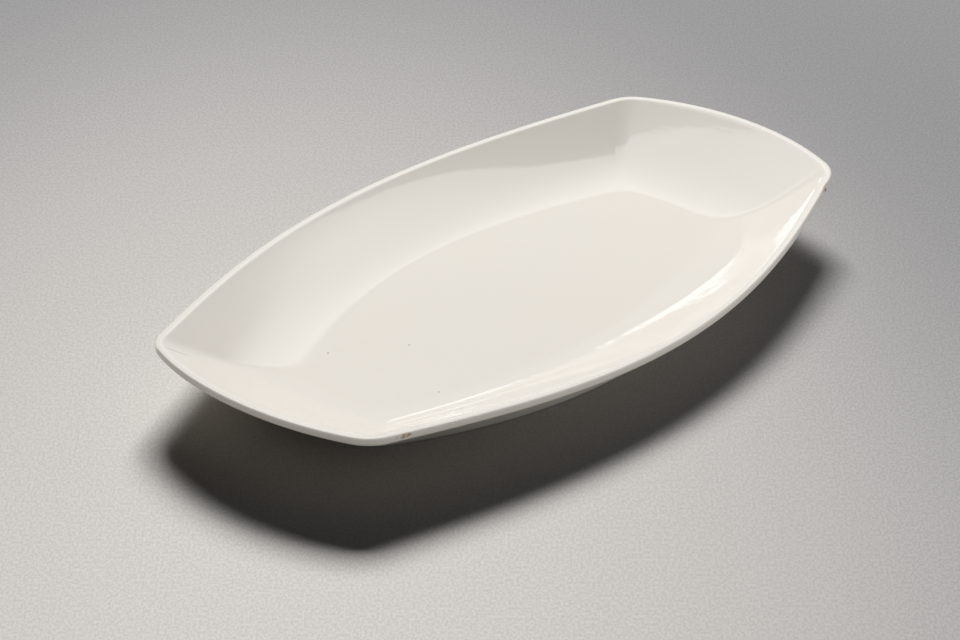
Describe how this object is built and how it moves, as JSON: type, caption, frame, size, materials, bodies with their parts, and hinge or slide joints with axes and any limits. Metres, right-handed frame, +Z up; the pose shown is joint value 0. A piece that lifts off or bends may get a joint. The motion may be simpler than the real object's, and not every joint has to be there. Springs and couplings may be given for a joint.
{
  "type": "boat-shaped serving plate",
  "caption": "Shallow white glazed ceramic serving plate, boat-shaped in plan with bowed sides, squared ends and a rim that rises to the ends, on a low foot ring.",
  "frame": {"origin": "under the middle of the plate, on the surface that it stands on", "axes": "+X along the plate's length, +Y across its width, +Z up out of the dish"},
  "size_m": [0.3, 0.171, 0.028],
  "materials": {
    "white_glaze": "glossy warm-white glaze over a pale body, smooth, with soft reflections, a few dark pinholes, a small brown stain and a small chip on the rim",
    "bare_clay": "glazed on its sides, wiped bare and matt pale buff on the band that stands on the table"
  },
  "bodies": {
    "root": {"plate_body": "white_glaze", "foot_ring": "bare_clay"}
  },
  "joints": []
}
